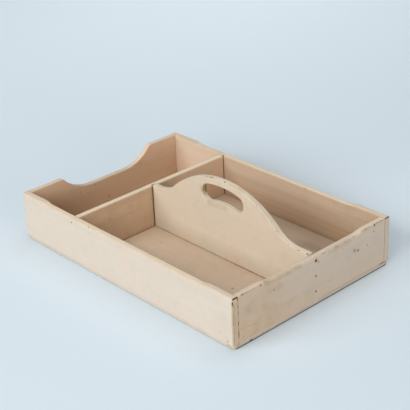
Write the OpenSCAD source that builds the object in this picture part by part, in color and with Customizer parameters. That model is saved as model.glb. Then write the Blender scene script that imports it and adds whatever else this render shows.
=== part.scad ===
// Knife tray: an open box of nailed boards with one deeply scooped end, a cross partition near that
// end, and a lengthways divider that rises into an arched carrying handle with a kidney-shaped hole.
// Millimetres, +Z up. The origin is on the table, under the middle of the tray. +X runs along the
// length, away from the scooped end, and the front long side faces -Y.

/* [Box] */
// Outside length of the tray, along X
tray_l = 440; // [400:1:500]
// Outside width of the tray, along Y
tray_w = 300; // [260:1:340]
// Height of the four corners above the table
tray_h = 74; // [66:0.5:84]
// Thickness of the two long sides
side_t = 9.5; // [8:0.5:12]
// Thickness of the two ends
end_t = 9; // [8:0.5:12]
// Thickness of the bottom board, which is nailed on from below
bottom_t = 6; // [4:0.5:9]
// Corner radius of the bottom board, seen from above
bottom_corner_r = 6; // [2:0.5:12]

/* [Shaped tops] */
// How far the sides and the plain end dip between their corners
dip_h = 2.5; // [1:0.5:6]
// Full-height length that a dipped board keeps at each corner
dip_shoulder = 48; // [30:1:70]
// Radius of the two curves of the small step into a dip
dip_r = 15; // [8:0.5:25]
// Depth of the scoop in the left end
scoop_h = 25; // [12:0.5:35]
// Width of the scoop, between the starts of its lips
scoop_w = 174; // [150:1:200]
// How far the middle of the scoop lies towards the back
scoop_off = 3.5; // [-10:0.5:10]
// Radius of the scoop's rounded lips
scoop_lip_r = 6; // [3:0.5:10]
// Radius of the hollows at the two ends of the scoop's floor
scoop_hollow_r = 66; // [40:1:75]
// Width of the slant that eases the handled edges
ease = 1.5; // [0.5:0.1:2.5]
// How far each slant stops short of the curves beside it
ease_stop = 4; // [2:0.5:8]

/* [Partition] */
// Clear width of the full-width compartment at the scooped end
left_room = 103; // [80:1:130]
// Thickness of the cross partition
partition_t = 9.5; // [8:0.5:12]

/* [Handle] */
// Thickness of the handle divider
handle_t = 9.5; // [8:0.5:12]
// Rise of the arch above the level lands beside it, which are as high as the tray's corners
arch_rise = 54; // [42:1:66]
// Length of the land between the partition and the left foot of the arch
left_land = 13; // [6:0.5:20]
// Length of the land between the right foot of the arch and the right end
right_land = 21; // [6:0.5:28]
// Radius of the hollow at each foot of the arch
foot_r = 53; // [30:1:70]
// Height of the wood left above the hand hole
grip_h = 10.5; // [8:0.5:16]
// Distance between the centres of the hand hole's two round ends
hole_span = 53.5; // [40:0.5:70]
// Radius of the hand hole's two round ends
hole_end_r = 13.2; // [10:0.1:16]
// How far the hand hole's lower edge swells up between its round ends
hole_swell = 4.8; // [2:0.1:8]

/* [Nails] */
// Shank diameter of the nails
nail_d = 1.8; // [1.4:0.1:2.4]
// Head diameter of the nails
nail_head_d = 3.6; // [3:0.1:5]
// Thickness of the nail heads
nail_head_t = 0.8; // [0.5:0.1:1.4]
// Length of the pointed tip
nail_tip = 3; // [1:0.5:4]
// Diameter of the blunt end of the tip
nail_point_d = 0.5; // [0.3:0.1:0.8]
// How far the heads are driven below the face
nail_sink = 0.3; // [0.1:0.1:0.6]
// Length of the nails driven through the upright boards
side_nail_l = 28; // [22:1:34]
// Length of the nails driven up through the bottom board
bottom_nail_l = 15; // [13:0.5:17]
// Height of the lowest upright-board nail above the tray's floor
nail_floor_gap = 14; // [12:0.5:18]
// Distance of the highest upright-board nail below a dipped top
nail_top_gap = 5.5; // [4:0.5:9]
// Number of nails in each upright row
nail_rows = 3; // [2:1:4]
// Number of bottom nails along each long side
side_nails = 5; // [3:1:7]
// Number of bottom nails along each end, the partition and the handle divider
cross_nails = 4; // [2:2:6]
// Distance of the outer bottom nails from the ends of their row
nail_inset = 44; // [36:1:60]

/* [Hidden] */
$fn = 96;
// Cutters reach this far past the faces that they cut
past = 1;
// Radius by which a curve misses the one that it runs into, so that the two cross and don't just touch
miss = 0.02;

half_l = tray_l / 2;
half_w = tray_w / 2;
in_right = half_l - end_t;
in_left = end_t - half_l;
in_front = side_t - half_w;
in_back = half_w - side_t;
room_w = in_back - in_front;
// The partition's two faces and its middle
part_left = in_left + left_room;
part_right = part_left + partition_t;
part_mid = (part_left + part_right) / 2;
dip_top = tray_h - dip_h;

// The arch: its top, its middle between its two feet, and the radius that lets its crown meet both
// foot hollows smoothly
handle_h = tray_h + arch_rise;
arch_half = (in_right - right_land - part_right - left_land) / 2;
arch_mid = part_right + left_land + arch_half;
arch_r = (pow(arch_half, 2) + pow(arch_rise, 2)) / (2 * arch_rise) - foot_r;
arch_mid_z = handle_h - arch_r;
// The hand hole: its upper edge follows the arch, and its round ends lie against that edge
hole_top_r = arch_r - grip_h;
hole_end_z = arch_mid_z + sqrt(pow(hole_top_r - hole_end_r, 2) - pow(hole_span / 2, 2));
// Radius of the swelling lower edge that meets both round ends smoothly
swell_drop = hole_end_r - hole_swell;
swell_r = (pow(hole_span / 2, 2) + pow(swell_drop, 2) - pow(hole_end_r, 2)) / (2 * hole_swell);
swell_mid_z = hole_end_z - swell_drop - swell_r;

nail_low = bottom_t + nail_floor_gap;
nail_high = dip_top - nail_top_gap;

wood = "#d8ccb8";
shade = "#c9b69c";
floor_wood = "#b9a488";
iron = "#4a3a2e";

// A row of places, evenly spread from one end to the other
function spread(from, to, count) = [for (i = [0 : count - 1]) from + (to - from) * i / (count - 1)];

// How far a double curve of a lip and a hollow travels sideways while it rises by h
function ogee_run(h, lip_r, hollow_r) = sqrt(2 * (lip_r + hollow_r) * h - h * h);

// Where the hollow hands over to the lip
function ogee_joint(low, high, lip_r, hollow_r) = low + (high - low) * hollow_r / (lip_r + hollow_r);

// Outline of straight-sided corners with its double curves rounded in. Each curve is given by its low
// and its high end, and the corners pass through both and through the joint between them.
module curved_outline(corners, curves, lip_r, hollow_r) {
    difference() {
        union() {
            polygon(corners);
            for (curve = curves) lip_area(curve[0], curve[1], lip_r, hollow_r);
        }
        for (curve = curves) hollow_area(curve[0], curve[1], lip_r, hollow_r);
    }
}

// Wood that a rounded lip adds beyond the chord from the joint to the high end
module lip_area(low, high, lip_r, hollow_r) {
    joint = ogee_joint(low, high, lip_r, hollow_r);
    beyond_chord(high[0] > low[0] ? [joint, high] : [high, joint], high - [0, lip_r], lip_r);
}

// Wood that a hollow takes away beyond the chord from the low end to the joint
module hollow_area(low, high, lip_r, hollow_r) {
    joint = ogee_joint(low, high, lip_r, hollow_r);
    beyond_chord(high[0] > low[0] ? [joint, low] : [low, joint], low + [0, hollow_r], hollow_r);
}

// Part of a disc on the left of a chord that runs between two points of its rim, rooted past the chord
module beyond_chord(chord, mid, r) {
    way = chord[1] - chord[0];
    out = [-way[1], way[0]] / norm(way);
    intersection() {
        translate(mid) circle(r - miss);
        polygon([
            chord[0] - past * out, chord[1] - past * out,
            chord[1] + r * out, chord[0] + r * out
        ]);
    }
}

// Stands an outline drawn in X and Z upright, centred on the plane Y = 0
module upright(t) {
    rotate([90, 0, 0]) linear_extrude(t, center = true) children();
}

// Cutter that slants both edges of a level top between two places
module ease_line(from, to, z, t) {
    reach = ease + past;
    for (side = [0, 1]) mirror([0, side, 0])
        translate([from, t / 2, z]) rotate([90, 0, 90]) linear_extrude(to - from)
            polygon([[-reach, past], [past, past], [past, -reach]]);
}

// Cutter that slants both edges of a round top, out = 1 on a bulge and -1 in a hollow
module ease_arc(mid, r, from, to, t, out) {
    reach = ease + past;
    for (side = [0, 1]) mirror([0, side, 0])
        translate([mid[0], 0, mid[1]]) rotate([90, 0, 0]) rotate_extrude(angle = to - from, start = from)
            translate([r, -t / 2])
                polygon([[-out * reach, -past], [out * past, -past], [out * past, reach]]);
}

// Board that stands on the bottom board and has a dip of depth h in its top. The dip reaches to both
// sides by half, and its middle is off from the board's.
module dipped_board(l, t, h, half, off, lip_r, hollow_r) {
    run = ogee_run(h, lip_r, hollow_r);
    left = [[off - half + run, tray_h - h], [off - half, tray_h]];
    right = [[off + half - run, tray_h - h], [off + half, tray_h]];
    corners = [
        [-l / 2, bottom_t], [l / 2, bottom_t], [l / 2, tray_h],
        right[1], ogee_joint(right[0], right[1], lip_r, hollow_r), right[0],
        left[0], ogee_joint(left[0], left[1], lip_r, hollow_r), left[1],
        [-l / 2, tray_h]
    ];
    difference() {
        upright(t) curved_outline(corners, [left, right], lip_r, hollow_r);
        ease_line(left[0][0] + ease_stop, right[0][0] - ease_stop, tray_h - h, t);
    }
}

module long_side() {
    dipped_board(tray_l, side_t, dip_h, half_l - dip_shoulder, 0, dip_r, dip_r);
}

// Outline of the hand hole, with the top of the arch above X = 0
module hole_area() {
    top_way = atan2(hole_end_z - arch_mid_z, hole_span / 2);
    swell_way = atan2(hole_end_z - swell_mid_z, hole_span / 2);
    for (side = [-1, 1]) translate([side * hole_span / 2, hole_end_z]) circle(hole_end_r + miss);
    difference() {
        intersection() {
            translate([0, arch_mid_z]) circle(hole_top_r);
            polygon([
                [hole_span / 2 - hole_end_r * cos(swell_way), hole_end_z - hole_end_r * sin(swell_way)],
                [hole_span / 2 + hole_end_r * cos(top_way), hole_end_z + hole_end_r * sin(top_way)],
                [hole_span / 2, handle_h],
                [-hole_span / 2, handle_h],
                [-hole_span / 2 - hole_end_r * cos(top_way), hole_end_z + hole_end_r * sin(top_way)],
                [-hole_span / 2 + hole_end_r * cos(swell_way), hole_end_z - hole_end_r * sin(swell_way)]
            ]);
        }
        translate([0, swell_mid_z]) circle(swell_r);
    }
}

// Cutter that slants the four edges of the grip, between the hand hole and the crown of the arch
module ease_grip() {
    half_turn = asin(hole_span / 2 / (hole_top_r - hole_end_r)) - ease_stop / hole_top_r * 180 / PI;
    ease_arc([0, arch_mid_z], arch_r, 90 - half_turn, 90 + half_turn, handle_t, 1);
    ease_arc([0, arch_mid_z], hole_top_r, 90 - half_turn, 90 + half_turn, handle_t, -1);
}

// One nail along +Z with the board's face at Z = 0, or the hole that it leaves
module nail(l, hole) {
    top = hole ? -past : nail_sink;
    translate([0, 0, top]) cylinder(d = nail_head_d, h = nail_sink + nail_head_t - top);
    translate([0, 0, nail_sink]) cylinder(d = nail_d, h = l - nail_tip);
    translate([0, 0, nail_sink + l - nail_tip]) cylinder(d1 = nail_d, d2 = nail_point_d, h = nail_tip);
}

// Nails at a list of places, turned the same way
module nails(places, way, l, hole) {
    color(iron) for (place = places) translate(place) rotate(way) nail(l, hole);
}

// Upright rows: through a long side at the place x, side = -1 at the front and 1 at the back
module side_row(x, side, hole) {
    heights = spread(nail_low, nail_high, nail_rows);
    nails([for (z = heights) [x, side * half_w, z]], [side * 90, 0, 0], side_nail_l, hole);
}

// Upright row on the handle divider's middle plane, from the face at x, way = 1 towards +X
module handle_row(x, way, hole) {
    heights = spread(nail_low, nail_high, nail_rows);
    nails([for (z = heights) [x, 0, z]], [0, way * 90, 0], side_nail_l, hole);
}

// Bottom rows: along X at the place y, and along Y at the place x
module bottom_row_x(from, to, y, count, hole) {
    places = spread(from + nail_inset, to - nail_inset, count);
    nails([for (x = places) [x, y, 0]], [0, 0, 0], bottom_nail_l, hole);
}
module bottom_row_y(x, hole) {
    places = spread(nail_inset - half_w, half_w - nail_inset, cross_nails);
    nails([for (y = places) [x, y, 0]], [0, 0, 0], bottom_nail_l, hole);
}

module front_left_corner_nails(hole = false) { side_row(end_t / 2 - half_l, -1, hole); }
module front_right_corner_nails(hole = false) { side_row(half_l - end_t / 2, -1, hole); }
module back_left_corner_nails(hole = false) { side_row(end_t / 2 - half_l, 1, hole); }
module back_right_corner_nails(hole = false) { side_row(half_l - end_t / 2, 1, hole); }
module front_partition_nails(hole = false) { side_row(part_mid, -1, hole); }
module back_partition_nails(hole = false) { side_row(part_mid, 1, hole); }
module right_end_handle_nails(hole = false) { handle_row(half_l, -1, hole); }
module partition_handle_nails(hole = false) { handle_row(part_left, 1, hole); }
module front_bottom_nails(hole = false) {
    bottom_row_x(-half_l, half_l, side_t / 2 - half_w, side_nails, hole);
}
module back_bottom_nails(hole = false) {
    bottom_row_x(-half_l, half_l, half_w - side_t / 2, side_nails, hole);
}
module left_bottom_nails(hole = false) { bottom_row_y(end_t / 2 - half_l, hole); }
module right_bottom_nails(hole = false) { bottom_row_y(half_l - end_t / 2, hole); }
module partition_bottom_nails(hole = false) { bottom_row_y(part_mid, hole); }
module handle_bottom_nails(hole = false) { bottom_row_x(part_right, in_right, 0, cross_nails, hole); }

module bottom_board() {
    flat_l = half_l - bottom_corner_r;
    flat_w = half_w - bottom_corner_r;
    color(floor_wood) difference() {
        linear_extrude(bottom_t) {
            square([tray_l, 2 * flat_w], center = true);
            square([2 * flat_l, tray_w], center = true);
            for (x = [-flat_l, flat_l], y = [-flat_w, flat_w]) translate([x, y]) circle(bottom_corner_r);
        }
        front_bottom_nails(true);
        back_bottom_nails(true);
        left_bottom_nails(true);
        right_bottom_nails(true);
        partition_bottom_nails(true);
        handle_bottom_nails(true);
    }
}

module front_side() {
    color(wood) difference() {
        translate([0, side_t / 2 - half_w, 0]) long_side();
        front_left_corner_nails(true);
        front_right_corner_nails(true);
        front_partition_nails(true);
        front_bottom_nails(true);
    }
}

module back_side() {
    color(wood) difference() {
        translate([0, half_w - side_t / 2, 0]) long_side();
        back_left_corner_nails(true);
        back_right_corner_nails(true);
        back_partition_nails(true);
        back_bottom_nails(true);
    }
}

module left_end() {
    color(wood) difference() {
        translate([end_t / 2 - half_l, 0, 0]) rotate([0, 0, 90])
            dipped_board(room_w, end_t, scoop_h, scoop_w / 2, scoop_off, scoop_lip_r, scoop_hollow_r);
        front_left_corner_nails(true);
        back_left_corner_nails(true);
        left_bottom_nails(true);
    }
}

module right_end() {
    color(wood) difference() {
        translate([half_l - end_t / 2, 0, 0]) rotate([0, 0, 90])
            dipped_board(room_w, end_t, dip_h, half_w - dip_shoulder, 0, dip_r, dip_r);
        front_right_corner_nails(true);
        back_right_corner_nails(true);
        right_end_handle_nails(true);
        right_bottom_nails(true);
    }
}

module cross_partition() {
    color(shade) difference() {
        translate([part_left, in_front, bottom_t]) cube([partition_t, room_w, dip_top - bottom_t]);
        translate([part_mid, 0, 0]) rotate([0, 0, 90]) ease_line(in_front, in_back, dip_top, partition_t);
        front_partition_nails(true);
        back_partition_nails(true);
        partition_handle_nails(true);
        partition_bottom_nails(true);
    }
}

module handle_divider() {
    ends = [part_right - arch_mid, in_right - arch_mid];
    top = [0, handle_h];
    feet = [[-arch_half, tray_h], [arch_half, tray_h]];
    joints = [for (foot = feet) ogee_joint(foot, top, arch_r, foot_r)];
    color(wood) difference() {
        translate([arch_mid, 0, 0]) upright(handle_t) difference() {
            union() {
                polygon([
                    [ends[0], bottom_t], [ends[1], bottom_t], [ends[1], tray_h],
                    feet[1], joints[1], joints[0], feet[0], [ends[0], tray_h]
                ]);
                beyond_chord(joints, [0, arch_mid_z], arch_r);
            }
            for (foot = feet) hollow_area(foot, top, arch_r, foot_r);
            hole_area();
        }
        translate([arch_mid, 0, 0]) ease_grip();
        right_end_handle_nails(true);
        partition_handle_nails(true);
        handle_bottom_nails(true);
    }
}

bottom_board();
front_side();
back_side();
left_end();
right_end();
cross_partition();
handle_divider();
front_left_corner_nails();
front_right_corner_nails();
back_left_corner_nails();
back_right_corner_nails();
front_partition_nails();
back_partition_nails();
right_end_handle_nails();
partition_handle_nails();
front_bottom_nails();
back_bottom_nails();
left_bottom_nails();
right_bottom_nails();
partition_bottom_nails();
handle_bottom_nails();
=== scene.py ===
import math

import bmesh
import bpy
import numpy as np
from mathutils import Matrix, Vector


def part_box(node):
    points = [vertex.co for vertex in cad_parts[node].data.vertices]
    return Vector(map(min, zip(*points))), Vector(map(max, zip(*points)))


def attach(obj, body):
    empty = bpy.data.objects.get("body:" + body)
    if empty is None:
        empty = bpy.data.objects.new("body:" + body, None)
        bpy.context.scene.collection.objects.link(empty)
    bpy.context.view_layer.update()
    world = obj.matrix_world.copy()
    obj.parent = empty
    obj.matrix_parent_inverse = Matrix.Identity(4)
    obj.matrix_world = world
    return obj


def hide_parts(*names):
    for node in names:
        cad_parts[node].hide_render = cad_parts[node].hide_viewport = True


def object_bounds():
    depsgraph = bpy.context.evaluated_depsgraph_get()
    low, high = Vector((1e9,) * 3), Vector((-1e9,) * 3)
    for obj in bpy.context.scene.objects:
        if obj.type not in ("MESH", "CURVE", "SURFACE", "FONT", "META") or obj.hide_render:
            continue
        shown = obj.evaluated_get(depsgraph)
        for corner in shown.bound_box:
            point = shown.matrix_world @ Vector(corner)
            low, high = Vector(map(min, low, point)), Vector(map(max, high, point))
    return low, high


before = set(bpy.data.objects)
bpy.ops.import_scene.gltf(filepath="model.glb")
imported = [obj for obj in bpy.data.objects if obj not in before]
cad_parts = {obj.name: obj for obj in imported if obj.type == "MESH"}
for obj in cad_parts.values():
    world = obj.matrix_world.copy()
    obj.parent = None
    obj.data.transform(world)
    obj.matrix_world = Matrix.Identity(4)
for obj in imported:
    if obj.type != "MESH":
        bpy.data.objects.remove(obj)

bl_info = {
    "name": "Painted knife tray",
    "version": (1, 0, 0),
    "blender": (4, 5, 0),
    "location": "View3D > Sidebar > Knife tray",
    "description": "Dresses the boards and nails of an old knife tray in worn paint",
    "category": "Add Mesh",
}

MM = 0.001
BODY = "root"


def box_lists():
    """The object's lowest and highest corner as plain lists."""
    return [[float(v) for v in corner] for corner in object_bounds()]


CAD_BOX = box_lists()


def linear(hex_colour):
    """An sRGB hex colour in linear light: the 2.4 power, with a straight stretch near black."""
    coded = np.array([int(hex_colour[i:i + 2], 16) for i in (1, 3, 5)]) / 255
    light = np.where(coded <= 0.04045, coded / 12.92, ((coded + 0.055) / 1.055) ** 2.4)
    return tuple(float(v) for v in light)


def length(name, description, mm):
    """A length, given in millimetres."""
    return bpy.props.FloatProperty(name=name, description=description, default=mm * MM, unit="LENGTH")


def angle(name, description, degrees):
    """An angle, given in degrees."""
    turn = math.radians(degrees)
    return bpy.props.FloatProperty(name=name, description=description, default=turn, subtype="ANGLE")


def power(name, description, watts):
    """A lamp's power, in watts."""
    return bpy.props.FloatProperty(name=name, description=description, default=watts, unit="POWER")


def colour(name, description, hex_colour):
    """A colour, given as an sRGB hex value."""
    return bpy.props.FloatVectorProperty(
        name=name, description=description, default=linear(hex_colour), subtype="COLOR", min=0, max=1)


class TrayShape(bpy.types.PropertyGroup):
    """Sizes of the boards' shaped tops and of their worn edges."""
    dip_depth: length("Dip depth", "How far the sides and the plain end dip between their corners", 2.5)
    dip_shoulder: length("Dip shoulder", "Full-height length at each corner of a dipped board", 48)
    dip_curve: length("Dip curve", "Radius of both curves of the step into the front's dip", 15)
    back_curve: length("Back dip curve", "The same radius on the back, softened by wear", 60)
    right_curve: length("Right dip curve", "The same radius on the right end, softened by wear", 75)
    scoop_depth: length("Scoop depth", "Depth of the scoop in the left end", 25)
    scoop_width: length("Scoop width", "Width of the scoop between the starts of its lips", 175.5)
    scoop_shift: length("Scoop shift", "How far the scoop's middle lies towards the back", 2.75)
    scoop_lip: length("Scoop lip", "Radius of the scoop's front lip", 6)
    scoop_far_lip: length("Scoop far lip", "Radius of the scoop's back lip, worn rounder", 9.6)
    scoop_hollow: length("Scoop hollow", "Radius of the hollows at the ends of the scoop's floor", 66)
    left_land: length("Left land", "Level length between the partition and the arch", 13)
    right_land: length("Right land", "Level length between the arch and the right end", 21)
    foot_curve: length("Foot curve", "Radius of the hollow at each foot of the arch", 53)
    grip_height: length("Grip height", "Height of the wood above the hand hole", 10.5)
    hole_span: length("Hole span", "Distance between the centres of the hole's round ends", 55.6)
    hole_end: length("Hole end", "Radius of the hole's round ends", 12.5)
    hole_swell: length("Hole swell", "Rise of the hole's lower edge between its round ends", 3.5)
    hole_front_edge: length("Hole front edge", "Radius of the hole's front edge", 1.43)
    hole_back_edge: length("Hole back edge", "Radius of the hole's back edge, worn by fingers", 3.51)
    bottom_corner: length("Bottom corner", "Corner radius of the bottom board", 6)
    rubbed_edge: length("Rubbed edge", "Radius of the top edges that hands have rubbed", 1.3)
    sharp_edge: length("Sharp edge", "Radius of the edges at the joints", 0.12)
    rolled_edge: length("Rolled edge", "Radius of the right end's outer top edge, worn round", 2.8)
    foot_edge: length("Foot edge", "Radius of the bottom board's lower edge, worn by the table", 1.5)
    wander: length("Wander", "How far the hand-planed faces wander from flat", 0.12)
    divider_gap: length("Divider gap", "Gap that drying has opened at the divider's left end", 1.6)
    partition_gap: length("Partition gap", "Gap that drying has opened at the partition's back end", 0.96)


class TrayPaint(bpy.types.PropertyGroup):
    """Colours of the paint, of what shows through it and of the nails."""
    # The outside and inside colours are blended by place, partly as painted light: the brightly lit front
    # keeps the pale outside colour, and faces that the lamps reach less take more of the warmer inside one
    outside: colour("Outside", "Paint on the outside, bleached by light", "#C5B9AB")
    inside: colour("Inside", "Paint inside the compartments, yellowed with age", "#CEAF92")
    grip: colour("Grip", "Paint on the handle divider, kept pale by hands", "#C4B6A3")
    floor: colour("Floor", "Paint on the compartments' floor, dulled by cutlery", "#D8C3AB")
    # Straw is partly painted top light: it is laid on the up-facing tops to make them paler
    straw: colour("Straw", "Paint that hands have rubbed on the top edges", "#E2D0B4")
    # Stain is also the colour of painted shade: along the edges and in a few wide, faint marks
    stain: colour("Stain", "Old varnish and grease where hands have been", "#95814F")
    ochre: colour("Ochre", "Fresher wood and thin paint in the chips", "#AF8753")
    bare: colour("Bare wood", "Old wood where the paint has chipped off", "#463425")
    # Grime is also the colour of the painted shade in the dust layer and of the darker paint near the joints
    grime: colour("Grime", "Dirt that has settled in the joints", "#6B5638")
    rust: colour("Rust", "Rust on the nails", "#5A3A26")
    iron: colour("Iron", "Dark iron of the nails", "#2A211C")


class TrayStage(bpy.types.PropertyGroup):
    """Where the camera stands, the floor and the lamps."""
    azimuth: angle("Azimuth", "Camera's turn from the front towards the right end", 48.2)
    elevation: angle("Elevation", "Camera's height angle", 26.643)
    roll: angle("Roll", "Camera's turn about its own axis", -2.634)
    distance: length("Distance", "From the aimed point to the camera", 1686.2)
    aim: bpy.props.FloatVectorProperty(
        name="Aim", description="Point in the middle of the picture",
        default=(-0.0167, 0.0246, 0.0574), unit="LENGTH")
    lens: bpy.props.FloatProperty(
        name="Lens", description="Focal length on a 36 mm sensor", default=102.57, unit="CAMERA")
    paper: colour("Paper", "Pale blue-grey paper that the tray stands on", "#D2DEE6")
    front_power: power("Front lamp", "Wide soft lamp in front of the tray", 295)
    side_power: power("Side lamp", "Low soft lamp that lightens the right end", 58)
    top_power: power("Top lamp", "Soft lamp above the tray", 60)
    far_power: power("Far lamp", "Narrow lamp on the paper behind the tray", 1.6)
    back_power: power("Back lamp", "Narrow lamp on the tray's shadow behind its far corner", 0.035)
    sky: bpy.props.FloatProperty(
        name="Sky", description="Strength of the even light from all around", default=0.2)


GROUPS = {"tray_shape": TrayShape, "tray_paint": TrayPaint, "tray_stage": TrayStage}

# Segments in each rounded edge, rings that close a board's end, and how near points are merged, in metres
ARC = 4
CLOSE = 5
MERGE = 1e-6
# Large primes that scatter a cell's three numbers, its seed and its bits
CELL_PRIMES = np.array((73856093, 19349663, 83492791))
SEED_PRIME = 7919
BIT_PRIMES = (2246822519, 3266489917)


def value_noise(points, cell, seed):
    """Value noise from 0 to 1: a random number at each corner of cubes one cell wide, blended by a smooth
    step."""
    cells = np.floor(points / cell).astype(np.int64)
    part = points / cell - cells
    part = part * part * (3 - 2 * part)
    total = np.zeros(points.shape[:-1])
    for corner in np.ndindex(2, 2, 2):
        key = (cells + corner) * CELL_PRIMES
        mixed = (key[..., 0] ^ key[..., 1] ^ key[..., 2]) + seed * SEED_PRIME
        mixed = ((mixed ^ (mixed >> 15)) * BIT_PRIMES[0]) & 0xFFFFFFFF
        mixed = ((mixed ^ (mixed >> 13)) * BIT_PRIMES[1]) & 0xFFFFFFFF
        share = np.prod(np.where(corner, part, 1 - part), axis=-1)
        total += share * ((mixed ^ (mixed >> 16)) & 0xFFFF) / 0xFFFF
    return total


def smooth(low, high, value):
    """Smooth step from 0 at low to 1 at high."""
    share = np.clip((value - low) / (high - low), 0, 1)
    return share * share * (3 - 2 * share)


def step_depth(way, drop, lip_r, hollow_r):
    """Depth of a double curve at a distance from its high end: a lip's arc, then the hollow's, which meet
    where both have the same slope."""
    reach = lip_r + hollow_r
    run = np.sqrt(2 * reach * drop - drop ** 2)
    way = np.clip(way, 0, run)
    lip = lip_r - np.sqrt(np.maximum(lip_r ** 2 - way ** 2, 0))
    hollow = drop - hollow_r + np.sqrt(np.maximum(hollow_r ** 2 - (run - way) ** 2, 0))
    return np.where(way < run * lip_r / reach, lip, hollow)


def end_rings(reach, round_r, close):
    """Places along a board and insets of the rings that round its end by a quarter circle and shrink to a
    line."""
    turn = np.linspace(0, np.pi / 2, ARC + 1)
    along = np.r_[reach - round_r * (1 - np.sin(turn)), np.full(CLOSE, reach)]
    inset = np.r_[round_r * (1 - np.cos(turn)), np.linspace(round_r, close, CLOSE + 1)[1:]]
    return along, inset


def section_stations(rows):
    """Stations around a rounded rectangle: each corner's arc, then the straight to the next corner. A station
    is two corners, its share of the way between them and the direction out from the corner's centre."""
    first, second, share, turn = [], [], [], []
    for corner in range(4):
        arc = math.pi * (1 + corner / 2) + np.linspace(0, np.pi / 2, ARC + 1)
        between = np.linspace(0, 1, rows[corner] + 1)[1:-1]
        first.append(np.full(len(arc) + len(between), corner))
        second.append(np.r_[np.full(len(arc), corner), np.full(len(between), (corner + 1) % 4)])
        share.append(np.r_[np.zeros(len(arc)), between])
        turn.append(np.r_[arc, np.full(len(between), arc[-1])])
    return tuple(np.concatenate(part) for part in (first, second, share, turn))


def board_grid(half_l, half_t, low, top, corner_r, end_r, spacing, rows):
    """A board's skin as a grid of points (along, across, up): rounded rectangles carried along the board,
    whose height, thickness and four corner radii follow the place along it, with both ends rounded and
    closed. The corners run from the lower one on the minus side, by the plus side, to the upper one above it;
    spacing is the distance between sections, and rows the steps along each straight."""
    close = min(float(np.min(half_t(np.zeros(1)))), float(np.min(top(np.zeros(1)) - low)) / 2)
    left, left_in = end_rings(half_l, end_r[0], close)
    right, right_in = end_rings(half_l, end_r[1], close)
    middle = np.linspace(end_r[0] - half_l, half_l - end_r[1], round(2 * half_l / spacing) + 1)[1:-1]
    along = np.r_[-left[::-1], middle, right]
    inset = np.r_[left_in[::-1], np.zeros(len(middle)), right_in]
    wide = half_t(along) - inset
    radius = np.clip(corner_r(along) - inset[:, None], 0, wide[:, None])
    centre_t = np.array((-1, 1, 1, -1)) * (wide[:, None] - radius)
    low_z = (low + inset)[:, None] + radius
    high_z = (top(along) - inset)[:, None] - radius
    centre_z = np.where(np.array((0, 0, 1, 1)), high_z, low_z)
    first, second, share, turn = section_stations(rows)

    def between(values):
        return values[:, first] * (1 - share) + values[:, second] * share

    across = between(centre_t) + between(radius) * np.cos(turn)
    up = between(centre_z) + between(radius) * np.sin(turn)
    return np.stack([np.broadcast_to(along[:, None], up.shape), across, up], axis=-1)


def quads_of(points, ring):
    """Corner numbers of the faces between neighbouring grid lines, outward, and each point's outward normal.
    The grid closes on itself around its second axis, and around its first where ring is true."""
    count = points.shape[:2]
    index = np.arange(count[0] * count[1]).reshape(count)
    rows = np.concatenate([index, index[:1]]) if ring else index
    beside = np.roll(rows, -1, axis=1)
    quads = np.stack([rows[:-1], rows[1:], beside[1:], beside[:-1]], axis=-1).reshape(-1, 4)
    flat = points.reshape(-1, 3)
    corners = flat[quads]
    cross = np.cross(corners[:, 2] - corners[:, 0], corners[:, 3] - corners[:, 1])
    if np.sum(corners.mean(axis=1) * cross) < 0:
        quads, cross = quads[:, ::-1], -cross
    normal = np.zeros_like(flat)
    for corner in range(4):
        np.add.at(normal, quads[:, corner], cross)
    normal /= np.maximum(np.linalg.norm(normal, axis=1, keepdims=True), 1e-12)
    return quads, normal.reshape(points.shape)


def skin(name, points, fields, ring=False):
    """A closed smooth mesh from a grid of points, with each field as a number on every point."""
    quads, _ = quads_of(points, ring)
    mesh = bpy.data.meshes.new(name)
    mesh.vertices.add(points.shape[0] * points.shape[1])
    mesh.vertices.foreach_set("co", points.astype(np.float32).ravel())
    mesh.loops.add(quads.size)
    mesh.loops.foreach_set("vertex_index", quads.astype(np.int32).ravel())
    mesh.polygons.add(len(quads))
    mesh.polygons.foreach_set("loop_start", np.arange(0, quads.size, 4, dtype=np.int32))
    for field, values in fields.items():
        attribute = mesh.attributes.new(field, "FLOAT", "POINT")
        attribute.data.foreach_set("value", values.astype(np.float32).ravel())
    mesh.update(calc_edges=True)
    work = bmesh.new()
    work.from_mesh(mesh)
    bmesh.ops.remove_doubles(work, verts=work.verts, dist=MERGE)
    work.to_mesh(mesh)
    work.free()
    mesh.polygons.foreach_set("use_smooth", np.ones(len(mesh.polygons), dtype=bool))
    mesh.validate()
    piece = bpy.data.objects.new(name, mesh)
    bpy.context.scene.collection.objects.link(piece)
    return piece


def inner_planes():
    """The inside faces of the compartments, from the boards' boxes."""
    return {
        "floor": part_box("bottom_board")[1].z,
        "front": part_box("front_side")[1].y,
        "back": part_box("back_side")[0].y,
        "left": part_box("left_end")[1].x,
        "right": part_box("right_end")[0].x,
        "part_left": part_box("cross_partition")[0].x,
        "part_right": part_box("cross_partition")[1].x,
        "divider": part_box("handle_divider")[1].y,
    }


def joint_way(points):
    """How far a point inside the tray lies from the nearest joint, in millimetres: the second smallest of its
    distances to the inside faces, since the smallest is to the face that it lies on."""
    at = inner_planes()
    x, y, z = np.moveaxis(points, -1, 0)
    beyond = x > at["part_left"]
    # A face of another compartment counts as a metre away
    far = np.full(x.shape, 1.0)
    ways = np.stack([
        np.abs(z - at["floor"]),
        np.abs(y - at["front"]),
        np.abs(y - at["back"]),
        np.where(beyond, far, np.abs(x - at["left"])),
        np.where(beyond, np.abs(x - at["right"]), far),
        np.where(x > at["part_right"] - MM, np.abs(x - at["part_right"]), np.abs(x - at["part_left"])),
        np.where(x > at["part_right"] - 2 * MM, np.abs(np.abs(y) - at["divider"]), far),
    ])
    return np.sort(ways, axis=0)[1] / MM


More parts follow.
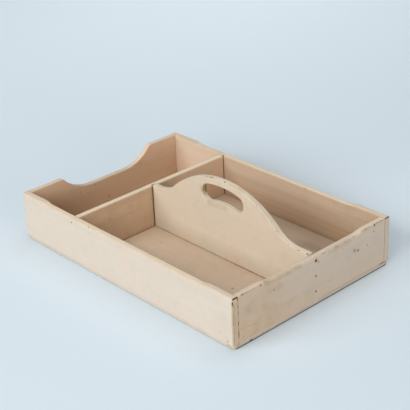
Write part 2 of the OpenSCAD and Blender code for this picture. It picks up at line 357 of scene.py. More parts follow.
def rubbed_and_lit_top(points, normal):
    """How far a point belongs to the boards' tops, where hands have rubbed them and where they are painted
    paler as painted top light: by how much it faces up, above the floor."""
    return smooth(0.6, 0.95, normal[..., 2]) * smooth(30 * MM, 40 * MM, points[..., 2])


def yellowing_and_shade(points, top):
    """How far the paint takes the inside colour instead of the outside one: 0 on the front, part of the way
    on the other outer faces and on the tops, most on the inside faces that look away from the light, blended
    over the outer boards' thickness. This is partly age and partly painted light: the brightly lit front
    keeps the pale colour, the tops keep a paler share as painted top light, and the warmer colour grows as
    painted shade towards the bottom, on the near part of each end and low on the back's inner face."""
    low, high = (np.array(corner) for corner in CAD_BOX)
    at = inner_planes()
    x, y, z = np.moveaxis(points, -1, 0)
    front = y - low[1]
    others = np.minimum(np.minimum(x - low[0], high[0] - x), high[1] - y)
    # Painted shade: the other outer faces take more of the warmer colour towards the bottom and on the near
    # part of each end
    lower = 0.25 * smooth(50 * MM, 5 * MM, z)
    nearer = 0.35 * smooth(0.02, -0.12, y)
    outer = np.where(others < front, 0.25 + nearer + lower, 0.0) * smooth(4 * MM, 6 * MM, z)
    # The back's inner face takes less of the warmer colour in the left compartment, and more towards the
    # bottom as painted shade
    back = 0.65 - 0.2 * smooth(-0.09, -0.11, x) + 0.35 * smooth(55 * MM, 20 * MM, z)
    inner = back + (1 - back) * smooth(0, 3 * MM, np.abs(y - at["back"]))
    share = smooth(1 * MM, 8 * MM, np.minimum(front, others)) * smooth(2 * MM, 5 * MM, z)
    tone = outer + (inner - outer) * share
    # Painted top light: the tops keep a paler share
    top_tone = 0.3
    return tone + (top_tone - tone) * top


def dust_and_painted_shade(points):
    """How far the paint is darkened, partly by dust and knives and partly as painted shade: most on the
    back's inner face, which the divider shades, and on the floor behind the divider towards the far right
    corner, part of the way on the partition's right face, low on the left end and around the foot."""
    at = inner_planes()
    x, y, z = np.moveaxis(points, -1, 0)
    # Painted shade on the back's inner face, more behind the divider and towards the bottom
    back = 0.03 + 0.21 * smooth(-0.12, -0.08, x) + 0.06 * smooth(0.06, 0.2, x)
    back = back + 0.07 * smooth(50 * MM, 15 * MM, z)
    # Painted shadow of the divider on the back compartment's floor, and painted shade towards the far right
    # corner
    middle = 0.34 * smooth(0.07, 0.115, x) * smooth(145 * MM, 105 * MM, y)
    corner = np.maximum(0.32 * smooth(0.1, 0.21, x), middle) * smooth(0, 20 * MM, y)
    shares = (
        back * smooth(2 * MM, 0, np.abs(y - at["back"])),
        corner * smooth(2 * MM, 0, np.abs(z - at["floor"])),
        0.15 * smooth(2 * MM, 0, np.abs(x - at["part_right"])) * smooth(10 * MM, -10 * MM, y),
        0.08 * smooth(2 * MM, 0, np.abs(x - at["left"])) * smooth(65 * MM, 20 * MM, z),
    )
    inside = smooth(-1 * MM, 0, at["back"] - np.abs(y)) * smooth(-1 * MM, 0, z - at["floor"])
    # Painted shade along the bottom of the outer faces
    foot = 0.09 * smooth(7 * MM, 5 * MM, z)
    return np.max(shares, axis=0) * inside + foot * (1 - inside)


def edge_way(points, box, top):
    """Distance to the nearest upright or top edge of a board, in millimetres: the second smallest of the
    distances to its faces, without the one below."""
    low, high = (np.array(corner) for corner in box)
    ways = np.stack([
        np.minimum(points[..., 0] - low[0], high[0] - points[..., 0]),
        np.minimum(points[..., 1] - low[1], high[1] - points[..., 1]),
        top - points[..., 2],
    ])
    return np.maximum(np.sort(ways, axis=0)[1], 0) / MM


def scarred(points, edge, rub_and_top_light, marks, wander, ring=False):
    """Moves a skin in along its normals: a slow wander of the planed face, and a dent along each mark. A mark
    is its point or its two ends, its radius and its depth, in millimetres, and how far its paint is off:
    stained up to about 0.6, chipped above that, and to dark wood from about 0.85. The rubbing share says how
    far hands have rubbed the top and how much paler it is painted there as painted top light. Gives the moved
    points and the fields that the paint reads."""
    _, normal = quads_of(points, ring)
    slow, quick = value_noise(points, 45 * MM, seed=3), value_noise(points, 14 * MM, seed=5)
    inward = -wander * (slow + 0.5 * quick - 0.75)
    lost = np.zeros(points.shape[:-1])
    for *ends, radius, depth, off in marks:
        start, stop = np.array(ends[:3]), np.array(ends[-3:])
        start, run = start * MM, (stop - start) * MM
        share = np.clip((points - start) @ run / max(run @ run, 1e-12), 0, 1)
        way = np.linalg.norm(points - start - share[..., None] * run, axis=-1) / MM
        # The dent is deepest in the inner two fifths of its radius, and the loss fades from two thirds on
        inward = inward + depth * MM * smooth(radius, 0.4 * radius, way)
        lost = np.maximum(lost, off * np.clip(1.6 - 0.9 * way / radius, 0, 1))
    top = rubbed_and_lit_top(points, normal)
    # The yellowed and dulled fields hold painted shade besides age and dust, and the rubbed field holds
    # painted top light besides the hands' wear
    fields = {
        "edge_mm": edge,
        "joint_mm": joint_way(points),
        "yellowed": yellowing_and_shade(points, top),
        "rubbed": rub_and_top_light * top,
        "dulled": dust_and_painted_shade(points),
        "lost": lost,
    }
    return points - normal * inward[..., None], fields


def dress(piece, node, material):
    """Puts a finished piece in a solid's place."""
    piece.data.materials.append(material)
    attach(piece, BODY)
    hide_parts(node)


def dip_top(half, curve):
    """The top of a dipped board as a function of the place along it, from the board's half length and the
    radius of both curves of the step."""
    shape = bpy.context.scene.tray_shape

    def top(along, high):
        way = half - shape.dip_shoulder - np.abs(along)
        return high - step_depth(way, shape.dip_depth, curve, curve)

    return top


def make_board(node, across, profile, corner_r, end_r, spacing, rows, rub_and_top_light, marks, material, *,
               dip_r=None, gap=0):
    """A straight board: its skin, its marks and its fields. across is true where the board runs along Y.
    corner_r and dip_r are its corner radii at its full height and in its dip, the two rubbing shares say how
    far hands have rubbed its top there and how much paler it is painted as painted top light, and gap is how
    far its far end falls short."""
    shape = bpy.context.scene.tray_shape
    low, high = (np.array(corner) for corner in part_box(node))
    axis = 1 if across else 0
    high[axis] -= gap
    mid, half = (low + high) / 2, (high - low) / 2

    def half_t(along):
        return np.full_like(along, half[1 - axis])

    def top(along):
        return profile(along, high[2])

    def dipped(along):
        """1 in the board's dip, 0 where it has its full height."""
        return smooth(0.2 * MM, 2 * MM, high[2] - top(along))

    def worn_r(along):
        """Each corner's radius, which comes and goes along the board as hands have rubbed it."""
        line = np.stack([along, np.full_like(along, mid[1]), np.full_like(along, mid[0])], axis=-1)
        slow, quick = value_noise(line, 22 * MM, seed=11), value_noise(line, 6 * MM, seed=12)
        uneven = 0.55 + 0.6 * slow + 0.3 * quick
        low_part = dipped(along)[:, None]
        radius = np.array(corner_r) * (1 - low_part) + np.array(dip_r or corner_r) * low_part
        return radius * np.where(np.array(corner_r) > shape.sharp_edge, uneven[:, None], 1)

    local = board_grid(half[axis], half_t, low[2], top, worn_r, end_r, spacing, rows)
    along, sideways, up = np.moveaxis(local, -1, 0)
    plan = (mid[0] - sideways, mid[1] + along) if across else (mid[0] + along, mid[1] + sideways)
    points = np.stack([*plan, up], axis=-1)
    edge = edge_way(points, (low, high), top(along))
    # How far the top is rubbed by hands and painted paler as painted top light, more in the dip
    rubbed = rub_and_top_light[0] + (rub_and_top_light[1] - rub_and_top_light[0]) * dipped(along)
    moved, fields = scarred(points, edge, rubbed, marks, shape.wander)
    piece = skin(node + "_painted", moved, fields)
    dress(piece, node, material)


def add(tree, kind, inputs=None, out=0, **settings):
    """Adds a node with its settings, sets or links its inputs, and gives one of its outputs."""
    node = tree.nodes.new(kind)
    for key, value in settings.items():
        setattr(node, key, value)
    for key, value in (inputs or {}).items():
        if isinstance(value, bpy.types.NodeSocket):
            tree.links.new(value, node.inputs[key])
        else:
            node.inputs[key].default_value = value
    return node.outputs[out] if node.outputs else node


def new_material(name):
    """An empty node material and its tree."""
    material = bpy.data.materials.new(name)
    material.use_nodes = True
    material.node_tree.nodes.clear()
    return material, material.node_tree


def rgba(value):
    """A colour with nothing see-through."""
    return (*value, 1.0)


# Settings that many nodes share, the sockets of a ramp and the fields that the paint reads
STEP = {"interpolation_type": "SMOOTHSTEP"}
TINT = {"data_type": "RGBA", "out": 2}
TIMES, MOST = {"operation": "MULTIPLY"}, {"operation": "MAXIMUM"}
TIMES_PLUS = {"operation": "MULTIPLY_ADD"}
RAMP = ("Value", "From Min", "From Max", "To Min", "To Max")
FIELDS = ("edge_mm", "joint_mm", "yellowed", "rubbed", "dulled", "lost")


def brushed_paint(name, along, inner):
    """Oil paint brushed on pine a long time ago: matt, with the brush's ridges along the board, yellowed
    inside the tray, rubbed pale and stained at the edges, and chipped to dark wood. Its colour also holds
    painted light: tops painted paler as painted top light, and painted shade in the dust, along the edges and
    on faces that the lamps reach less."""
    paint = bpy.context.scene.tray_paint
    material, tree = new_material(name)
    place = add(tree, "ShaderNodeTexCoord", out="Object")
    up = add(tree, "ShaderNodeSeparateXYZ", {0: place}, out="Z")
    fields = [add(tree, "ShaderNodeAttribute", out="Fac", attribute_name=field) for field in FIELDS]
    edge, joint, yellowed, rubbed, dulled, lost = fields

    # Noises whose cells are so many millimetres wide
    noises = []
    for seed, cell_mm in enumerate((55, 16, 4.5, 1.5)):
        inputs = {"Vector": place, "W": 5.3 * seed, "Scale": 1 / (cell_mm * MM), "Detail": 3.0}
        noises.append(add(tree, "ShaderNodeTexNoise", inputs, noise_dimensions="4D"))
    clouds, patches, flakes, grit = noises

    # The brush's ridges, drawn coarser than its hairs so that they show, and its strokes, both drawn out
    # along the board
    drawn = tuple(0.025 if axis == along else 1.0 for axis in "XYZ")
    brushed = add(tree, "ShaderNodeVectorMath", {0: place, 1: drawn}, **TIMES)
    brushwork = []
    for width_mm in (1.6, 9.0):
        inputs = {"Vector": brushed, "Scale": 1 / (width_mm * MM), "Detail": 3.0}
        brushwork.append(add(tree, "ShaderNodeTexNoise", inputs))
    ridges, strokes = brushwork

    # Fields that a noise makes ragged
    blurred = add(tree, "ShaderNodeMath", {0: patches, 1: 0.4, 2: lost}, **TIMES_PLUS)
    near = add(tree, "ShaderNodeMath", {0: patches, 1: -3.0, 2: joint}, **TIMES_PLUS)
    ragged = add(tree, "ShaderNodeMath", {0: flakes, 1: 0.9, 2: lost}, **TIMES_PLUS)
    shallow = add(tree, "ShaderNodeMath", {0: grit, 1: -0.5, 2: lost}, **TIMES_PLUS)

    # Each smooth ramp: what it reads, the two readings between which it runs, and its value at each of them
    ramps = {
        # Uneven colour: warm and greasy clouds, faint brush stripes, streaks in the dust and the painted
        # shade, and dull patches
        "warm": (clouds, 0.5, 0.3, 0.0, 0.24),
        "greasy": (clouds, 0.5, 0.75, 0.0, 0.06),
        "stripes": (strokes, 0.35, 0.7, 0.0, 0.04),
        "streaks": (strokes, 0.35, 0.65, 0.82, 1.18),
        "dull": (patches, 0.5, 0.8, 0.0, 0.08),
        # Tops that hands have rubbed, with painted top light; edges that they have stained, with painted
        # shade over their highlight; and the stains around the marks
        "uneven": (flakes, 0.35, 0.7, 0.75, 1.0),
        "arris": (edge, 0.2, 2.4, 0.26, 0.0),
        "reached": (up, 30 * MM, 46 * MM, 0.3, 1.0),
        "stained": (blurred, 0.35, 0.9, 0.0, 0.7),
        # Darker paint near the inside joints
        "settled": (near, -1.6, 1.0, 0.18, 0.0),
        # Chips: rarely along the edges, at the marks, and a few stray specks; shallow ones show fresher wood
        "at_edge": (edge, 0.2, 1.2, 1.0, 0.0),
        "weak": (flakes, 0.63, 0.69, 0.0, 1.0),
        "rare": (clouds, 0.46, 0.56, 0.0, 1.0),
        "marked": (ragged, 1.02, 1.12, 0.0, 1.0),
        "speck": (grit, 0.74, 0.77, 0.0, 0.7),
        "some": (patches, 0.55, 0.61, 0.0, 1.0),
        "fresh": (shallow, 0.65, 0.4, 0.0, 0.9),
        # Roughness, which comes and goes with the clouds
        "matt": (clouds, 0.3, 0.7, 0.5, 0.62),
    }
    share = {}
    for ramp, values in ramps.items():
        share[ramp] = add(tree, "ShaderNodeMapRange", dict(zip(RAMP, values)), **STEP)
    products = {
        "dust_and_shade": (dulled, share["streaks"]),
        "pale": (rubbed, share["uneven"]),
        # The stain along the edges also dims the highlight that their rounding catches, as painted shade
        "handled": (share["arris"], share["uneven"], share["reached"]),
        "darker_near_joints": (share["settled"], yellowed),
        "frayed": (share["weak"], share["rare"], share["at_edge"]),
        "stray": (share["speck"], share["some"]),
    }
    for part, (product, *factors) in products.items():
        for factor in factors:
            product = add(tree, "ShaderNodeMath", {0: product, 1: factor}, **TIMES)
        share[part] = product
    off = share["frayed"]
    for chips in ("marked", "stray"):
        off = add(tree, "ShaderNodeMath", {0: off, 1: share[chips]}, **MOST)
    inputs = {0: share["fresh"], 6: rgba(paint.bare), 7: rgba(paint.ochre)}
    wood = add(tree, "ShaderNodeMix", inputs, **TINT)

    # The paint's own colour, then what lies on it, one layer after the other, and last the chips
    inputs = {0: yellowed, 6: rgba(paint.outside), 7: rgba(getattr(paint, inner))}
    body = add(tree, "ShaderNodeMix", inputs, **TINT)
    # Among the layers, the straw on the tops is partly painted top light, and the grime of the dust streaks
    # and the stain along the edges are partly painted shade
    layers = {
        "warm": paint.inside, "greasy": paint.stain, "stripes": paint.grime, "dull": paint.grime,
        "dust_and_shade": paint.grime, "pale": paint.straw, "handled": paint.stain, "stained": paint.stain,
        "darker_near_joints": paint.grime,
    }
    for layer, tint in layers.items():
        body = add(tree, "ShaderNodeMix", {0: share[layer], 6: body, 7: rgba(tint)}, **TINT)
    body = add(tree, "ShaderNodeMix", {0: off, 6: body, 7: wood}, **TINT)

    # Ridges and grit a few hundredths of a millimetre high, and chips as deep as the paint
    height = add(tree, "ShaderNodeMath", {0: ridges, 1: 0.05}, **TIMES)
    height = add(tree, "ShaderNodeMath", {0: grit, 1: 0.02, 2: height}, **TIMES_PLUS)
    height = add(tree, "ShaderNodeMath", {0: off, 1: -0.15, 2: height}, **TIMES_PLUS)
    normal = add(tree, "ShaderNodeBump", {"Height": height, "Distance": MM, "Strength": 0.6})
    rough = add(tree, "ShaderNodeMath", {0: off, 1: 0.25, 2: share["matt"]}, **TIMES_PLUS)
    sheen = {"IOR": 1.48, "Specular IOR Level": 0.35}
    inputs = {"Base Color": body, "Roughness": rough, "Normal": normal, **sheen}
    surface = add(tree, "ShaderNodeBsdfPrincipled", inputs)
    add(tree, "ShaderNodeOutputMaterial", {"Surface": surface})
    return material


def rusted_iron():
    """Cut iron nails, rusted under the paint: dark, rough and mottled."""
    paint = bpy.context.scene.tray_paint
    material, tree = new_material("Wrought iron, cut and rusted")
    place = add(tree, "ShaderNodeTexCoord", out="Object")
    grain_mm = 0.7
    rust = add(tree, "ShaderNodeTexNoise", {"Vector": place, "Scale": 1 / (grain_mm * MM), "Detail": 4.0})
    share = add(tree, "ShaderNodeMapRange", {"Value": rust, "From Min": 0.4, "From Max": 0.65})
    body = add(tree, "ShaderNodeMix", {0: share, 6: rgba(paint.iron), 7: rgba(paint.rust)}, **TINT)
    normal = add(tree, "ShaderNodeBump", {"Height": rust, "Distance": 0.1 * MM, "Strength": 0.7})
    inputs = {"Base Color": body, "Normal": normal, "Roughness": 0.8, "Metallic": 0.35}
    surface = add(tree, "ShaderNodeBsdfPrincipled", inputs)
    add(tree, "ShaderNodeOutputMaterial", {"Surface": surface})
    return material


# Each paint's name, the axis that it is brushed along, and its colour inside the tray
PAINTS = {
    "long": ("Oil paint on pine, brushed lengthways", "X", "inside"),
    "cross": ("Oil paint on pine, brushed crossways", "Y", "inside"),
    "grip": ("Oil paint on pine, rubbed by hands", "X", "grip"),
    "floor": ("Oil paint on pine, scoured floor", "X", "floor"),
}


def paint_of(kind):
    """One of the paints, made once and shared by the boards that wear it."""
    name, along, inner = PAINTS[kind]
    return bpy.data.materials.get(name) or brushed_paint(name, along, inner)


# Marks on the boards, in millimetres: a point or two ends, radius, depth and how far the paint is off
SEAM_MARKS = (
    (220, -141, 73, 220, -141, 69, 0.7, 0.5, 0.85), (220, -140.5, 61.5, 220, -140.5, 58.5, 0.6, 0.4, 0.75),
    (220, -140.5, 52.5, 220, -140.5, 48.5, 0.6, 0.4, 0.75),
    (220, -140.5, 38, 220, -140.5, 33, 0.7, 0.5, 0.85), (220, -140.5, 24, 220, -140.5, 15, 0.7, 0.5, 0.85),
)
FRONT_MARKS = SEAM_MARKS + (
    (220, -145.6, 14, 220, -145.6, 66, 3.4, 0, 0.34), (-104, -150, 65.4, 1.3, 0.5, 0.7),
    (-66, -148.5, 71.5, 1.2, 0.3, 0.75), (195, -150, 17, 0.9, 0.2, 0.7), (209, -150, 9, 1.2, 0.3, 0.85),
    (-205, -150, 52, 3.0, 0.1, 0.35), (220, -149, 74, 220, -142, 74, 1.4, 0.8, 1.1),
    (220, -150, 69.5, 220, -150, 66, 1.0, 0.4, 1.0), (219.7, -149.7, 66, 219.7, -149.7, 4, 2.2, 0.1, 0.5),
    (220, -148, 68, 220, -147, 36, 2.8, 0, 0.42),
)
RIGHT_MARKS = SEAM_MARKS + (
    (220, 0.8, 66, 1.85, 0.8, 1.25), (220, 0.8, 43, 1.4, 0.7, 0.95), (220, 0.8, 20, 1.4, 0.7, 0.95),
    (220, 5.5, 62.5, 2.0, 0.1, 0.55), (219, 2, 71, 2.0, 0.1, 0.3),
    (219.8, -134, 73.8, 219.8, -131, 73.8, 0.9, 0.3, 0.75),
    (219.8, -128, 73.8, 219.8, -106, 73.8, 0.6, 0.2, 0.56), (219.6, -101, 73, 1.2, 0.3, 0.9),
    (220, -77, 56.6, 1.2, 0.2, 0.75), (219.3, 13, 71, 219.5, 20, 70.6, 0.8, 0.3, 0.8),
    (220, 54, 62, 0.9, 0.2, 0.7), (220, 77.5, 49.5, 3.4, 0, 0.42), (220, 84, 47, 3.2, 0, 0.4),
    (220, 75.5, 50.5, 220, 80, 48.5, 0.9, 0.2, 0.62), (220, 84.5, 48, 220, 85.5, 46.5, 1.0, 0.3, 0.9),
    (220, 118, 72.6, 1.6, 0.4, 0.95), (220, 117, 63, 1.3, 0.2, 0.8), (220, 103.5, 48, 1.4, 0.2, 0.7),
    (220, 116.5, 45, 1.5, 0.1, 0.45), (220, 29, 24, 1.5, 0.1, 0.45),
    (219.7, 121, 73.8, 219.7, 136, 73.8, 0.6, 0.2, 0.72), (219.6, 90, 73.4, 219.6, 108, 74, 0.7, 0.2, 0.6),
    (220, 140.4, 66, 0.8, 0.1, 0.6), (220, 140.4, 50, 220, 140.4, 44, 0.7, 0.1, 0.6),
    (220, 131, 6.4, 220, 141, 6.4, 0.6, 0.4, 0.75), (219.6, -41, 70.3, 219.6, -36, 70.4, 0.7, 0.2, 0.72),
    (219.4, -31, 70.9, 0.8, 0.2, 0.8), (219.6, -52, 70, 0.8, 0.2, 0.66),
    (219.6, 38, 70.4, 219.6, 44, 70.4, 0.6, 0.2, 0.68), (219.5, 58, 70.6, 0.8, 0.2, 0.8),
    (219.6, 67, 70.4, 0.7, 0.2, 0.68), (219.5, 74, 70.9, 219.5, 80, 71.2, 0.7, 0.2, 0.75),
    (219.6, 100, 72.8, 0.9, 0.2, 0.9), (220, -140, 26, 220, -109, 21.6, 0.5, 0.25, 0.5),
    # The wide faint stain low on the right end's near part is partly painted shade, darkening it against the
    # far part, over an olive smudge
    (220, -102.5, 30, 220, -102.5, 23, 2.6, 0.1, 0.36), (220, -125, 28, 220, -85, 36, 40, 0, 0.28),
    (219, -90, 71.5, 219, -30, 70.5, 5, 0, 0.38), (219.5, 28, 70, 219.5, 66, 69, 5, 0, 0.34),
    (220, -64.6, 32, 2.0, 0.1, 0.4), (220, -133, 13, 1.2, 0.1, 0.55),
)
HANDLE_MARKS = (
    (9, -2.5, 121, 24, -3, 125.2, 0.6, 0.2, 0.78), (27, -3, 125.8, 34, -3, 126.8, 0.8, 0.2, 0.85),
    (57, -3, 127.6, 1.3, 0.3, 0.95), (66, -3, 127.1, 77, -3, 126, 0.8, 0.2, 0.52),
    (135, -2, 99.5, 1.2, 0.2, 0.8), (2, -4.75, 81, 1.6, 0.2, 0.5), (23, -4.75, 87, 1.8, 0.2, 0.55),
    (26, -4.75, 86, 58, -4.75, 88, 5.0, 0, 0.35), (12.5, -1, 98, 13, -1, 106, 3.4, 0, 0.55),
    (12.6, 2, 98, 12.9, 2, 106, 1.5, 0, 0.88), (13, 0, 102, 7, 0, 0.5), (209, -4, 74.5, 1.5, 0.2, 1.0),
    (-96.8, -4.75, 10, -96.8, -4.75, 70, 1.2, 0, 0.7), (82, 0, 124.5, 106, 0, 116, 5, 0, 0.3),
    (106, 0, 116, 142, 0, 97, 5, 0, 0.3), (-97, 0, 75, -60, 0, 80, 5, 0, 0.28),
    (83, -4.75, 81, 1.4, 0.2, 0.55), (170, -4.75, 57, 1.5, 0.1, 0.5), (31, -4.75, 51, 1.2, 0.1, 0.45),
    (118, -4.4, 112.4, 0.8, 0.2, 0.75), (155, -4.4, 87.4, 0.9, 0.2, 0.9), (176, -4.4, 75.8, 0.8, 0.2, 0.85),
    (192, -4.4, 73.6, 196, -4.4, 73.6, 0.7, 0.2, 0.75), (-94, -4.75, 6.2, 70, -4.75, 6.2, 1.1, 0, 0.62),
    (70, -4.75, 6.2, 208, -4.75, 6.2, 1.3, 0, 0.76),
)
BACK_MARKS = (
    (220, 141, 74.2, 220, 149, 74.2, 1.5, 0.5, 0.92), (220, 140.7, 57, 0.9, 0.1, 0.55),
    (72, 140.5, 70.5, 1.8, 0.2, 0.6), (130, 140.5, 35, 1.4, 0.1, 0.5),
    # The wide faint stain high on the back's inner face towards the right is partly painted shade of the
    # handle
    (130, 140.5, 71, 205, 140.5, 66, 13, 0, 0.25), (-100, 140.5, 8, -100, 140.5, 73, 1.6, 0, 1.2),
    (-200, 145, 74, -110, 145, 73, 5, 0, 0.3),
)
PARTITION_MARKS = (
    (-98.5, -87, 48, 1.8, 0.1, 0.55), (-98.5, -48, 43.5, 1.5, 0.1, 0.5), (-98.5, -75, 70, 1.6, 0.2, 0.6),
    # The wide faint stain over the partition's front half is painted shade on its right face
    (-98.5, 0, 8, -98.5, 0, 69, 4.3, 0, 1.1), (-98.5, -110, 35, -98.5, -30, 35, 50, 0, 0.22),
)
LEFT_MARKS = (
    (-211, -54, 42, 1.8, 0.1, 0.5), (-211, -26, 45, 1.5, 0.1, 0.5), (-211, 0, 16, 1.8, 0.1, 0.5),
    (-215.5, -70, 50, -215.5, 76, 50, 5, 0, 0.34),
)
FLOOR_MARKS = (
    (117.4, -52.6, 6, 1.3, 0.2, 0.95), (-53, -33, 6, 1.6, 0.1, 0.5),
    (-97.8, -70, 6, -97.8, -6, 6, 1.8, 0, 0.7), (220, -119.6, 1, 1.8, 0.3, 1.15),
    (220, -99.4, 3.8, 1.1, 0.2, 0.8), (220, 99.6, 1, 1.3, 0.3, 0.95), (-108.6, -150, 3, 1.2, 0.2, 0.5),
    # The dark line along the bottom edge under the right end, the one along the front's bottom edge and the
    # dark patch at the near bottom corner are partly painted contact shadow, over a worn dark edge
    (220, 131, 5.6, 220, 143, 5.6, 0.6, 0.4, 0.75), (220, -145, 0.5, 220, 145, 0.5, 0.8, 0, 0.94),
    (-215, -150, 0.4, 215, -150, 0.4, 0.7, 0, 0.6), (211, -150, 2, 220, -142, 2, 4.5, 0, 0.46),
)


def nail_dimples(side, count=3):
    """Shallow dimples where paint covers the nails of a long side: each upright row's heads, spread over its
    box. A dimple is a little wider than its head."""
    wider, depth_mm, off = 1.3, 0.15, 0.1
    marks = []
    for row in ("left_corner", "partition", "right_corner"):
        low, high = (np.array(corner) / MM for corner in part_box(f"{side}_{row}_nails"))
        head_r = (high[0] - low[0]) / 2
        face = low[1] if side == "front" else high[1]
        heights = np.linspace(low[2] + head_r, high[2] - head_r, count)
        marks += [(low[0] + head_r, face, z, wider * head_r, depth_mm, off) for z in heights]
    return tuple(marks)


class KNIFETRAY_OT_long_sides(bpy.types.Operator):
    """Front and back boards, each with a shallow dip in its top"""
    bl_idname = "knife_tray.long_sides"
    bl_label = "Long sides"

    def execute(self, context):
        shape = context.scene.tray_shape
        material = paint_of("long")
        half_l = CAD_BOX[1][0]
        front_top, back_top = dip_top(half_l, shape.dip_curve), dip_top(half_l, shape.back_curve)
        sharp, rubbed = shape.sharp_edge, shape.rubbed_edge
        # Shares of the rubbed edge at the upright ends and at the front's inner and outer top edge
        end_share, inner_share, outer_share = 0.7, 0.8, 1.8
        ends = (end_share * rubbed, end_share * rubbed)
        front_r = (sharp, sharp, inner_share * rubbed, outer_share * rubbed)
        back_r = (sharp, sharp, rubbed, rubbed)
        front_marks = FRONT_MARKS + nail_dimples("front")
        back_marks = BACK_MARKS + nail_dimples("back")
        make_board("front_side", False, front_top, front_r, ends, spacing=1.0 * MM, rows=(6, 36, 9, 76),
                   rub_and_top_light=(0.2, 0.65), marks=front_marks, material=material)
        make_board("back_side", False, back_top, back_r, ends, spacing=1.2 * MM, rows=(6, 50, 9, 50),
                   rub_and_top_light=(0.1, 0.5), marks=back_marks, material=material)
        return {"FINISHED"}


class KNIFETRAY_OT_ends(bpy.types.Operator):
    """Left end with its deep scoop, and right end with a shallow dip"""
    bl_idname = "knife_tray.ends"
    bl_label = "Ends"

    def execute(self, context):
        shape = context.scene.tray_shape
        material = paint_of("cross")

        def scoop(along, high):
            way = shape.scoop_width / 2 - np.abs(along - shape.scoop_shift)
            lip = np.where(along > shape.scoop_shift, shape.scoop_far_lip, shape.scoop_lip)
            return high - step_depth(way, shape.scoop_depth, lip, shape.scoop_hollow)

        dip = dip_top(CAD_BOX[1][1], shape.right_curve)
        sharp, rubbed = shape.sharp_edge, shape.rubbed_edge
        ends = (sharp, sharp)
        left_r = (sharp, sharp, rubbed, rubbed)
        # Shares of the rubbed edge at the right end's inner and outer top edge, which rolls over in the dip
        inner_share, outer_share = 0.7, 0.8
        right_r = (sharp, sharp, inner_share * rubbed, outer_share * rubbed)
        dip_r = (sharp, sharp, inner_share * rubbed, shape.rolled_edge)
        make_board("left_end", True, scoop, left_r, ends, spacing=0.8 * MM, rows=(6, 50, 9, 50),
                   rub_and_top_light=(0.1, 0.15), marks=LEFT_MARKS, material=material)
        make_board("right_end", True, dip, right_r, ends, spacing=0.8 * MM, rows=(6, 36, 9, 84),
                   rub_and_top_light=(0.2, 0.1), marks=RIGHT_MARKS, material=material, dip_r=dip_r)
        return {"FINISHED"}


# How much rounder hands have worn the partition's top edges and the handle's than the other boards'
HANDLED = 1.4


class KNIFETRAY_OT_partition(bpy.types.Operator):
    """Cross partition near the scooped end"""
    bl_idname = "knife_tray.partition"
    bl_label = "Partition"

    def execute(self, context):
        shape = context.scene.tray_shape
        sharp, rubbed = shape.sharp_edge, HANDLED * shape.rubbed_edge
        corner_r = (sharp, sharp, rubbed, rubbed)

        def level(along, high):
            return np.full_like(along, high)

        make_board("cross_partition", True, level, corner_r, (sharp, sharp), spacing=1.1 * MM,
                   rows=(6, 50, 9, 50), rub_and_top_light=(0.75, 0.75), marks=PARTITION_MARKS, material=paint_of("cross"),
                   gap=shape.partition_gap)
        return {"FINISHED"}


def arc_line(mid, radius, start, stop, steps):
    """Points along an arc between two angles in degrees."""
    turn = np.radians(np.linspace(start, stop, steps + 1))
    return np.stack([mid[0] + radius * np.cos(turn), mid[1] + radius * np.sin(turn)], axis=-1)


def loop_of(parts):
    """One closed line from stretches that follow each other, without the doubled ends."""
    return np.concatenate([part[:-1] for part in parts])


def loop_out(line):
    """Unit normals of a closed line that runs anticlockwise, pointing out of it."""
    way = np.roll(line, -1, axis=0) - np.roll(line, 1, axis=0)
    out = np.stack([way[:, 1], -way[:, 0]], axis=-1)
    return out / np.linalg.norm(out, axis=1, keepdims=True)


